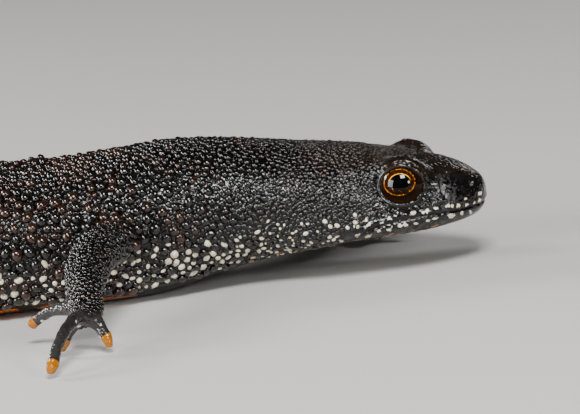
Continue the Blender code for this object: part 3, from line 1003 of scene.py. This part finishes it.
def crowd_of_all(margin):
    """All the warts so far, each reaching out by a share of the size of the warts around it."""
    crowd = Crowd()
    for points, radii in zip(WARTS["point"], WARTS["radius"]):
        gaps = np.maximum(margin * wart_size(points), LEAST_MARGIN)
        for row, radius, gap in zip((points / MM).tolist(), radii.tolist(), gaps.tolist()):
            crowd.add(*row, radius, gap)
    return crowd


print("table with", ", ".join(WARTS))

# %% [markdown]
# ## Four generations of warts
# The cream warts are placed first because the eye notices their spacing. The large
# dark ones follow, then middling ones in the gaps, and at last fine grains, so that
# hardly any bare hide is left on the flank.

# %% Grow the warts
thrown = sampler.throw(PALE_MAP ** 1.4 * (SIZE_MAP > 0), 5.6)
radii = rng.uniform(0.14, 0.28, len(thrown[0])) * np.clip(wart_size(thrown[0]) / 0.34, 0.66, 1.05)
print("cream", grow(Crowd(), thrown, radii, True, squeeze=1.02))

# the crown has only a few small grains
crowding = np.where((SIZE_MAP > 0) & (SIZE_MAP < 0.09), 0.12, 1.0)
crowding = crowding * (1 + 1.6 * ramp(0.24, 0.34, SIZE_MAP))  # the flank's large warts stand closest
weights = np.where(SIZE_MAP > 0, crowding / np.maximum(SIZE_MAP, 0.08) ** 2, 0)
for low, high, dense in ((0.80, 1.12, 2.8), (0.45, 0.75, 3.4)):
    thrown = sampler.throw(weights, dense)
    radii = wart_size(thrown[0]) * rng.uniform(low, high, len(thrown[0]))
    report("warts", grow(crowd_of_all(high), thrown, radii, False, margin=high))

GRAIN_SHARE = 0.42  # of the largest warts' radius


def grain_size(size):
    """Radius of the small grains where the largest warts have this one."""
    return np.clip(size * GRAIN_SHARE, 0.075, 0.12) * (size > 0)


weights = np.where(SIZE_MAP > 0.09, 1 / np.maximum(grain_size(SIZE_MAP), 0.05) ** 2, 0)
thrown = sampler.throw(weights, 0.55)
radii = grain_size(wart_size(thrown[0]))
radii *= rng.uniform(0.75, 1.1, len(radii))
report("grains", grow(crowd_of_all(GRAIN_SHARE), thrown, radii, False, margin=GRAIN_SHARE))
for key in WARTS:
    WARTS[key] = np.concatenate(WARTS[key])
print(len(WARTS["radius"]), "warts")

# %% [markdown]
# ## The pieces of the coat
# All the warts in one mesh would be too heavy to send out, so the coat is parted
# where a maker would part it: head, flanks, tail and limbs.

# %% Regions of the coat
NECK_AT, VENT_AT = 17.5, 70.0  # stations in mm where one region of the coat meets the next


def coat_regions(station, right, limb):
    """Which warts belong to each piece of the coat, by the piece's name."""
    body = limb < 0.5
    trunk = body & (station >= NECK_AT) & (station < VENT_AT)
    return {
        "warts_head": body & (station < NECK_AT),
        "warts_flank_right": trunk & (right > 0),
        "warts_flank_left": trunk & (right <= 0),
        "warts_tail": body & (station >= VENT_AT),
        "warts_limbs_right": ~body & (right > 0),
        "warts_limbs_left": ~body & (right <= 0),
    }


WART_STATION, right, _ = body_coordinates(WARTS["point"])
WART_LIMB = limb_share(WART_STATION, right)
REGIONS = coat_regions(WART_STATION, right, WART_LIMB)
print("regions", {name: int(here.sum()) for name, here in REGIONS.items()})

# %% [markdown]
# ## Copying the bead
# Each wart is the bead turned at random round its normal, a little stretched, and
# roughened by moving its corners. All its corners share one small patch of the
# unwrap. Tens of thousands of copies are too many for operators, so whole tables of
# corners are worked out at once.

# %% Copies of the bead
SMALL = 0.135  # mm; smaller warts are made from the small bead
PATCH = 0.0015  # half the width of a wart's patch on the unwrap


def wart_frames(normals, turns):
    """Two directions square to each normal, turned round it at random."""
    helper = np.where(np.abs(normals[:, 2:3]) < 0.8, [[0.0, 0.0, 1.0]], [[1.0, 0.0, 0.0]])
    side = np.cross(helper, normals)
    side /= np.linalg.norm(side, axis=1)[:, None]
    up = np.cross(normals, side)
    cos, sin = np.cos(turns)[:, None], np.sin(turns)[:, None]
    return cos * side + sin * up, cos * up - sin * side


def copies(bead, rows):
    """Corners, faces and unwrap places of one bead at each of these warts."""
    corners, faces = bead
    count, each = len(rows["radius"]), len(corners)
    first, second = wart_frames(rows["normal"], rows["turn"])
    shape = np.broadcast_to(corners, (count, each, 3)) * (1 + rows["rough"][:, :each, None])
    wide = rows["radius"] * rows["stretch"]
    narrow = rows["radius"] / rows["stretch"]
    tall = rows["radius"] * rows["tall"]
    points = shape[..., 0:1] * (wide[:, None] * first)[:, None]
    points = points + shape[..., 1:2] * (narrow[:, None] * second)[:, None]
    points = points + shape[..., 2:3] * (tall[:, None] * rows["normal"])[:, None]
    points = points * MM + rows["point"][:, None]
    places = rows["place"][:, None] + corners[None, :, :2] * PATCH
    faces = faces[None] + (np.arange(count) * each)[:, None, None]
    return points.reshape(-1, 3), faces.reshape(-1, 3), places.reshape(-1, 2), each


print("a small wart has a radius under", SMALL, "mm")

# %% [markdown]
# ## From tables to a mesh
# A mesh is tables inside: corners, the corners of each triangle, and a place on the
# unwrap for each of those. Filling the tables at once is far faster than adding faces.

# %% Mesh from tables
def mesh_from_arrays(name, points, faces, places):
    """A mesh of triangles with an unwrap, from its tables of corners, faces and places."""
    mesh = bpy.data.meshes.new(name)
    mesh.vertices.add(len(points))
    mesh.vertices.foreach_set("co", points.ravel())
    mesh.loops.add(faces.size)
    mesh.loops.foreach_set("vertex_index", faces.ravel().astype(np.int32))
    mesh.polygons.add(len(faces))
    mesh.polygons.foreach_set("loop_start", np.arange(len(faces), dtype=np.int32) * 3)
    mesh.update(calc_edges=True)
    layer = mesh.uv_layers.new(name=UV_NAME)
    layer.data.foreach_set("uv", places[faces.ravel()].ravel().astype(np.float32))
    mesh.shade_smooth()
    mesh.validate()
    return mesh


print("large bead", LARGE_BEAD[1].shape, "and small bead", SMALL_BEAD[1].shape)

# %% [markdown]
# ## Building the coat
# The cream warts are flatter, longer and rougher than the dark ones. Every wart
# carries the masks of the place where it stands, and a tone of its own that shifts
# it from black towards dark red-brown.

# %% Build the coat
def build_coat():
    count = len(WARTS["radius"])
    rows = dict(WARTS)
    rows["turn"] = rng.uniform(0, 2 * math.pi, count)
    pale = WARTS["pale"] > 0
    # on head, neck and limbs the warts run together
    fine = np.maximum(WART_LIMB, ramp(24, 15, WART_STATION))
    rows["stretch"] = rng.uniform(1.0, 1.16 + 0.20 * np.maximum(fine, pale))
    rows["tall"] = rng.uniform(0.75, 1.0, count) * np.where(pale, 0.62, 1.0 - 0.18 * fine)
    rows["rough"] = rng.normal(0, 0.045, (count, len(LARGE_BEAD[0]))) * np.where(pale, 2.2, 1.0)[:, None]
    rows["tone"] = rng.uniform(0.05, 1.0, count)
    masks = markings(WARTS["point"])
    masks["pale"] = WARTS["pale"]
    masks["tone"] = rows["tone"]
    coats = []
    small = rows["radius"] < SMALL
    for name, here in REGIONS.items():
        parts, start = [], 0
        values = {key: [] for key in masks}
        for bead, chosen in ((LARGE_BEAD, here & ~small), (SMALL_BEAD, here & small)):
            some = {key: value[chosen] for key, value in rows.items()}
            points, faces, places, each = copies(bead, some)
            parts.append((points, faces + start, places))
            start += len(points)
            for key in masks:
                values[key].append(np.repeat(masks[key][chosen], each))
        mesh = mesh_from_arrays(name, *(np.concatenate(column) for column in zip(*parts)))
        write_masks(mesh, {key: np.concatenate(value) for key, value in values.items()})
        coats.append(add_object(name, mesh))
        print(name, int(here.sum()), "warts,", len(mesh.polygons), "faces")
    return coats


coats = build_coat()
report("coat built")

# %% [markdown]
# ## Eyes
# The eye is a smooth ball. Its colours are rings round the pupil, so the ball gets
# a map of its own that measures how far each point lies from the line of sight,
# and the material draws pupil, gold line, flecks and dark rim on that map.

# %% Two eyes
GAZE_LIFT, GAZE_FORWARD = 19.0, -3.0
CORNEA_BULGE = 0.035  # of the ball's radius, over the iris


def make_eye(name, side):
    """A ball that looks out of the lids, with a map of angles from its line of sight."""
    centre = np.array(EYE_CENTRES[name])
    clear_selection()
    bpy.ops.mesh.primitive_uv_sphere_add(segments=64, ring_count=48, radius=EYE_RADIUS, location=centre)
    eye = bpy.context.object
    eye.name = "wet_" + name
    gaze, ahead, up = eye_axes(side, GAZE_LIFT, GAZE_FORWARD)
    turn = Vector(gaze).to_track_quat("Z", "Y").to_matrix().to_4x4()
    eye.data.transform(turn)
    bpy.ops.object.transform_apply(location=True, rotation=True, scale=True)
    points = mesh_points(eye.data)
    way = (points - centre) / EYE_RADIUS
    bulge = 1 + CORNEA_BULGE * ramp(0.70, 0.95, way @ gaze)
    set_points(eye.data, centre + way * EYE_RADIUS * bulge[:, None])
    loops = read(eye.data.loops, "vertex_index", 1, int).ravel()
    angle = np.degrees(np.arccos(np.clip(way @ gaze, -1, 1))) / 90
    flat = np.stack([way @ ahead, way @ up], axis=1)
    flat *= (angle / np.maximum(np.linalg.norm(flat, axis=1), 1e-6))[:, None]
    layer = eye.data.uv_layers[0]
    layer.name = "sight"
    layer.data.foreach_set("uv", flat[loops].ravel().astype(np.float32))
    eye.data.shade_smooth()
    print(eye.name, len(eye.data.polygons), "faces, looks along", np.round(gaze, 2))
    return eye


eyes = {name: make_eye(name, side) for name, side in SIDES.items()}

# %% [markdown]
# ## Wet rims of the lids
# Where the lid meets the eyeball, water stands in a thin bead that shines as a line
# of light round the eye. A torus is the natural start: its middle line is laid along
# the edge of the opening, which is an ellipse on a ball.

# %% Two rims
RIM_THICKNESS = 0.055  # mm, radius of the bead of water
RIM_OUTSIDE = 0.03  # mm, how far its middle line lies outside the opening


def make_rim(name, side):
    """A thin bead of water along the edge of one eye's opening."""
    clear_selection()
    bpy.ops.mesh.primitive_torus_add(
        major_radius=1.0, minor_radius=RIM_THICKNESS, major_segments=96, minor_segments=10
    )
    rim = bpy.context.object
    rim.name = name.replace("eye", "lid_rim")
    gaze, ahead, up = eye_axes(side, OPENING_LIFT, OPENING_FORWARD)
    x, y, z = mesh_points(rim.data).T
    turn = np.arctan2(y, x)
    reach = RIM_OUTSIDE + opening_reach(turn)
    out = np.sqrt(RIM_RADIUS ** 2 - reach ** 2) + z
    reach = reach + np.hypot(x, y) - 1
    flat = (reach * np.cos(turn))[:, None] * ahead + (reach * np.sin(turn))[:, None] * up
    set_points(rim.data, np.array(EYE_CENTRES[name]) + (flat + out[:, None] * gaze) * MM)
    if side < 0:
        rim.data.flip_normals()
    rim.data.uv_layers[0].name = UV_NAME
    rim.data.shade_smooth()
    write_masks(rim.data, {**markings(mesh_points(rim.data)), "tone": np.zeros(len(x))})
    print(rim.name, len(rim.data.polygons), "faces")
    return rim


rims = [make_rim(name, side) for name, side in SIDES.items()]

# %% [markdown]
# ## Building materials from nodes
# Node trees are long when every node takes five lines. A small helper adds a node,
# sets its values and links what it is given, so that a pattern reads like a sum.

# %% A helper for node trees
class Tree:
    """Adds nodes to a tree; an input may be a value or another node's output."""

    def __init__(self, tree):
        self.tree = tree

    def node(self, kind, inputs=(), output=0, **settings):
        made = self.tree.nodes.new(kind)
        for key, value in settings.items():
            setattr(made, key, value)
        pairs = inputs.items() if isinstance(inputs, dict) else enumerate(inputs)
        for key, value in pairs:
            if isinstance(value, bpy.types.NodeSocket):
                self.tree.links.new(value, made.inputs[key])
            elif value is not None:
                made.inputs[key].default_value = value
        return made.outputs[output]

    def math(self, operation, *values):
        return self.node("ShaderNodeMath", values, operation=operation)

    def times(self, first, second):
        return self.math("MULTIPLY", first, second)

    def link(self, output, socket):
        self.tree.links.new(output, socket)

    def step(self, value, start, end, low=0.0, high=1.0):
        """low below start and high above end, with a smooth rise between."""
        values = (value, start, end, low, high)
        return self.node("ShaderNodeMapRange", values, interpolation_type="SMOOTHSTEP")

    def mix(self, share, first, second):
        """A mix of two colours."""
        return self.node("ShaderNodeMix", {0: share, 6: first, 7: second}, output=2, data_type="RGBA")

    def noise(self, place, size, detail=2.0, rough=0.5):
        """Noise from 0 to 1 whose spots are about size mm across."""
        values = {"Vector": place, "Scale": 1000.0 / size, "Detail": detail, "Roughness": rough}
        return self.node("ShaderNodeTexNoise", values)

    def cells(self, place, size):
        """Distance to the nearest cell's middle, for cells about size mm across."""
        return self.node("ShaderNodeTexVoronoi", {"Vector": place, "Scale": 1000.0 / size}, feature="F1")


print("node helper ready")

# %% [markdown]
# ## Node groups
# A group is a tree of its own with named sockets, so that two materials can share one
# pattern and still give it their own values.

# %% A helper for node groups
def start_group(name, inputs, outputs):
    """A new shader node group with these named sockets, and what its ends give and take."""
    group = bpy.data.node_groups.new(name, "ShaderNodeTree")
    for label, kind, value in inputs:
        made = group.interface.new_socket(name=label, in_out="INPUT", socket_type=kind)
        if value is not None:
            made.default_value = value
    for label, kind in outputs:
        group.interface.new_socket(name=label, in_out="OUTPUT", socket_type=kind)
    given = group.nodes.new("NodeGroupInput").outputs
    return group, Tree(group), given, group.nodes.new("NodeGroupOutput").inputs


print("group helper ready")

# %% [markdown]
# ## The markings
# Skin and warts must agree, so one group paints both. It starts from black and dark red-brown, lays a
# painted sheen of pale grey before each eye, then the belly's orange with its black blotches, the throat,
# the cream dots and the orange toes. Noise frays the edge of every mask.

# %% The group of the markings
BLACK = colour(0.0028, 0.0024, 0.0022)
RED_BROWN = colour(0.021, 0.0072, 0.0030)
EARTH_BROWN = colour(0.0150, 0.0076, 0.0035)
ORANGE = colour(0.48, 0.110, 0.0)
CREAM = colour(0.84, 0.78, 0.63)
BUFF = colour(0.55, 0.45, 0.30)
TAN = colour(0.30, 0.155, 0.055)
TOE_ORANGE = colour(0.33, 0.108, 0.0)
TOE_GREY = colour(0.026, 0.023, 0.022)
# painted sheen: a pale grey that stands in for light reflected off the wet skin before each eye
WET_GREY = colour(0.105, 0.100, 0.105)
MASKS = ("belly", "throat", "pale", "tip", "digit", "brown", "wet", "dark", "tone")


def make_markings():
    inputs = [("Place", "NodeSocketVector", None)]
    inputs += [(name.title(), "NodeSocketFloat", 0.0) for name in MASKS]
    group, tree, given, result = start_group("newt_markings", inputs, [("Color", "NodeSocketColor")])
    place = given["Place"]
    wide = tree.noise(place, 4.0, 3.0)
    fine = tree.noise(place, 0.5, 3.0)
    edge = tree.noise(place, 0.22, 2.0)

    def frayed(mask, fray=0.5, noise=edge):
        """The mask with a sharp, irregular edge."""
        moved = tree.math("MULTIPLY_ADD", tree.math("SUBTRACT", noise, 0.5), fray, mask)
        return tree.step(moved, 0.42, 0.58)

    red = tree.math("MULTIPLY_ADD", wide, 1.1, tree.times(given["Tone"], 0.55))
    red = tree.math("SUBTRACT", red, tree.times(given["Dark"], 0.22))
    hide = tree.mix(tree.step(red, 0.70, 1.05), BLACK, RED_BROWN)
    earth = tree.times(given["Brown"], tree.step(fine, 0.25, 0.6))
    hide = tree.mix(tree.times(earth, 0.9), hide, EARTH_BROWN)
    # painted sheen: pale grey streaks before each eye stand in for the light reflected by the wet skin
    gleam = tree.step(tree.noise(place, 0.34, 3.0), 0.49, 0.57)
    hide = tree.mix(tree.times(given["Wet"], gleam), hide, WET_GREY)
    blotch = tree.step(tree.noise(place, 3.2, 2.0, 0.45), 0.49, 0.53)
    belly = tree.mix(blotch, ORANGE, BLACK)
    hide = tree.mix(frayed(given["Belly"], 0.9, tree.noise(place, 1.6, 2.0)), hide, belly)
    speck = tree.step(tree.noise(place, 0.9, 2.0), 0.56, 0.62)
    hide = tree.mix(tree.times(frayed(given["Throat"], 0.8, fine), speck), hide, TAN)
    finger = tree.mix(tree.step(tree.cells(place, 0.9), 0.24, 0.17), TOE_GREY, CREAM)
    hide = tree.mix(given["Digit"], hide, finger)
    hide = tree.mix(frayed(given["Tip"], 0.35), hide, TOE_ORANGE)
    pale = frayed(tree.times(given["Pale"], 0.86), 2.0, tree.noise(place, 0.18, 3.0))
    cream = tree.mix(tree.step(fine, 0.35, 0.75), CREAM, BUFF)
    tree.link(tree.mix(pale, hide, cream), result["Color"])
    return group


MARKINGS = make_markings()
print("markings group has", len(MARKINGS.nodes), "nodes")

# %% [markdown]
# ## The grain of wet hide
# Between the warts the hide is finely pebbled, and wet. The pebbles are cells with
# rounded tops, and a softer noise under them makes the light break up unevenly.

# %% The group of the grain
def make_grain():
    number = "NodeSocketFloat"
    inputs = [("Place", "NodeSocketVector", None), ("Size", number, 0.2), ("Wrinkle", number, 0.3)]
    outputs = [("Height", number), ("Roughness", number)]
    group, tree, given, result = start_group("wet_grain", inputs, outputs)
    place = given["Place"]
    scale = tree.math("DIVIDE", 1000.0, given["Size"])
    pebble = tree.node("ShaderNodeTexVoronoi", {"Vector": place, "Scale": scale}, feature="SMOOTH_F1")
    broad = tree.times(scale, 0.45)
    soft = tree.node("ShaderNodeTexNoise", {"Vector": place, "Scale": broad, "Detail": 3.0})
    height = tree.math("SUBTRACT", 1.0, pebble)
    height = tree.math("MULTIPLY_ADD", soft, given["Wrinkle"], height)
    tree.link(height, result["Height"])
    shine = tree.noise(place, 0.7, 3.0)
    tree.link(tree.node("ShaderNodeMapRange", (shine, 0.3, 0.7, 0.10, 0.26)), result["Roughness"])
    return group


GRAIN = make_grain()
print("grain group has", len(GRAIN.nodes), "nodes")

# %% [markdown]
# ## Hide and warts
# Both materials are the same hide with other values: coarse, deep pebbles and next
# to no film between the warts, and on the warts a fine grain under a clear wet film,
# which gives each of them its small sharp highlight.

# %% Materials of the hide and the warts
def hide_material(name, pebbles, wrinkle, depth, specular, coat, coat_roughness):
    """Newt hide: the markings, the grain as bump, and a clear film of water over both."""
    material, shader = new_material(name)
    tree = Tree(material.node_tree)
    place = tree.node("ShaderNodeTexCoord", output="Object")
    paint = tree.node("ShaderNodeGroup", node_tree=MARKINGS).node
    tree.link(place, paint.inputs["Place"])
    for mask in MASKS:
        value = tree.node("ShaderNodeAttribute", output="Fac", attribute_name=mask)
        tree.link(value, paint.inputs[mask.title()])
    grain = tree.node("ShaderNodeGroup", node_tree=GRAIN).node
    tree.link(place, grain.inputs["Place"])
    grain.inputs["Size"].default_value = pebbles
    grain.inputs["Wrinkle"].default_value = wrinkle
    bump_values = {"Height": grain.outputs["Height"], "Distance": depth * MM, "Strength": 1.0}
    tree.link(tree.node("ShaderNodeBump", bump_values), shader["Normal"])
    tree.link(paint.outputs["Color"], shader["Base Color"])
    tree.link(grain.outputs["Roughness"], shader["Roughness"])
    shader["Specular IOR Level"].default_value = specular
    shader["Coat Weight"].default_value = coat
    shader["Coat Roughness"].default_value = coat_roughness
    return material


SKIN_MATERIAL = hide_material("newt_hide", 0.22, 0.5, 0.075, 0.42, 0.03, 0.14)
WART_MATERIAL = hide_material("newt_warts", 0.10, 0.4, 0.005, 0.25, 0.90, 0.05)
skin.data.materials.append(SKIN_MATERIAL)
skin.data.shade_smooth()
for piece in coats + rims:
    piece.data.materials.append(WART_MATERIAL)
print("hide materials ready")

# %% [markdown]
# ## The colours of the eye
# Seen along the line of sight there is a black pupil, a thin line of gold round it,
# a dark iris with orange flecks, a broken golden ring, and dark brown beyond. A
# clear coat over all of it is the wet cornea.

# %% Eye material
EYE_DARK = colour(0.0060, 0.0026, 0.0012)
EYE_BROWN = colour(0.0150, 0.0058, 0.0022)
AMBER = colour(0.030, 0.0075, 0.0010)
FLECK = colour(0.26, 0.052, 0.003)
RING_ORANGE = colour(0.36, 0.080, 0.003)
RING_GOLD = colour(0.66, 0.25, 0.010)
GOLD_LINE = colour(0.95, 0.46, 0.010)
PUPIL_BLACK = colour(0.0012, 0.0012, 0.0014)


def eye_material():
    material, shader = new_material("newt_eye_wet")
    tree = Tree(material.node_tree)
    sight = tree.node("ShaderNodeUVMap", uv_map="sight")
    parts = tree.node("ShaderNodeSeparateXYZ", (sight,)).node.outputs

    def ring(wide, tall, lift=0.0, shift=0.0):
        """Distance from the middle of an ellipse, 1 on its edge."""
        across = tree.math("DIVIDE", tree.math("SUBTRACT", parts[0], shift), wide)
        up = tree.math("DIVIDE", tree.math("SUBTRACT", parts[1], lift), tall)
        squares = tree.math("MULTIPLY_ADD", across, across, tree.times(up, up))
        return tree.math("SQRT", squares)

    pupil = ring(0.245, 0.190, -0.01, 0.02)
    iris = ring(0.425, 0.345)
    fine = {"Vector": sight, "Scale": 16.0, "Detail": 4.0, "Roughness": 0.65}
    fine = tree.node("ShaderNodeTexNoise", fine)
    broad = tree.node("ShaderNodeTexNoise", {"Vector": sight, "Scale": 5.5, "Detail": 2.0})
    top = tree.step(parts[1], -0.02, 0.16)

    def band(value, middle, half):
        """1 on a thin ring, fading to 0 at half its width away."""
        gap = tree.math("ABSOLUTE", tree.math("SUBTRACT", value, middle))
        return tree.step(gap, half * 0.35, half, 1.0, 0.0)

    shade = tree.mix(tree.step(iris, 1.0, 1.7), EYE_DARK, EYE_BROWN)
    amber = tree.times(tree.step(iris, 1.0, 0.9), tree.step(parts[1], -0.25, 0.3))
    shade = tree.mix(tree.times(amber, tree.step(fine, 0.3, 0.6)), shade, AMBER)
    fleck = tree.times(tree.step(fine, 0.57, 0.68), tree.step(iris, 1.0, 0.85))
    shade = tree.mix(tree.times(fleck, 0.7), shade, FLECK)
    broken = tree.step(tree.math("MULTIPLY_ADD", broad, 0.8, fine), 0.76, 1.00)
    rim = tree.times(band(iris, 0.95, 0.06), broken)
    shade = tree.mix(rim, shade, tree.mix(tree.step(fine, 0.4, 0.7), RING_ORANGE, RING_GOLD))
    thin = tree.times(band(pupil, 1.09, 0.07), tree.step(fine, 0.34, 0.52))
    gold = tree.times(thin, tree.math("MAXIMUM", top, tree.step(fine, 0.60, 0.66)))
    shade = tree.mix(gold, shade, GOLD_LINE)
    shade = tree.mix(tree.step(pupil, 1.03, 0.96), shade, PUPIL_BLACK)
    tree.link(shade, shader["Base Color"])
    dull = tree.node("ShaderNodeMapRange", (fine, 0.3, 0.7, 0.22, 0.34))
    tree.link(dull, shader["Roughness"])
    shader["Specular IOR Level"].default_value = 0.0
    # painted shade: the coat thins on the foot of the ball, as if the lower lid kept the light off it
    tree.link(tree.step(parts[1], -0.30, 0.02, 0.12, 1.0), shader["Coat Weight"])
    shader["Coat Roughness"].default_value = 0.02
    shader["Coat IOR"].default_value = 1.38  # a cornea's
    return material


EYE_MATERIAL = eye_material()
for eye in eyes.values():
    eye.data.materials.append(EYE_MATERIAL)
print("eye material has", len(EYE_MATERIAL.node_tree.nodes), "nodes")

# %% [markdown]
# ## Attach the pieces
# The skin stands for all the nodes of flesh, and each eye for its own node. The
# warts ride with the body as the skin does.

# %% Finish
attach(skin, "root")
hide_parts(*FLESH)
for piece in coats + rims:
    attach(piece, "root")
for name, eye in eyes.items():
    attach(eye, "root")
    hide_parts(name)
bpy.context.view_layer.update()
report("finished")
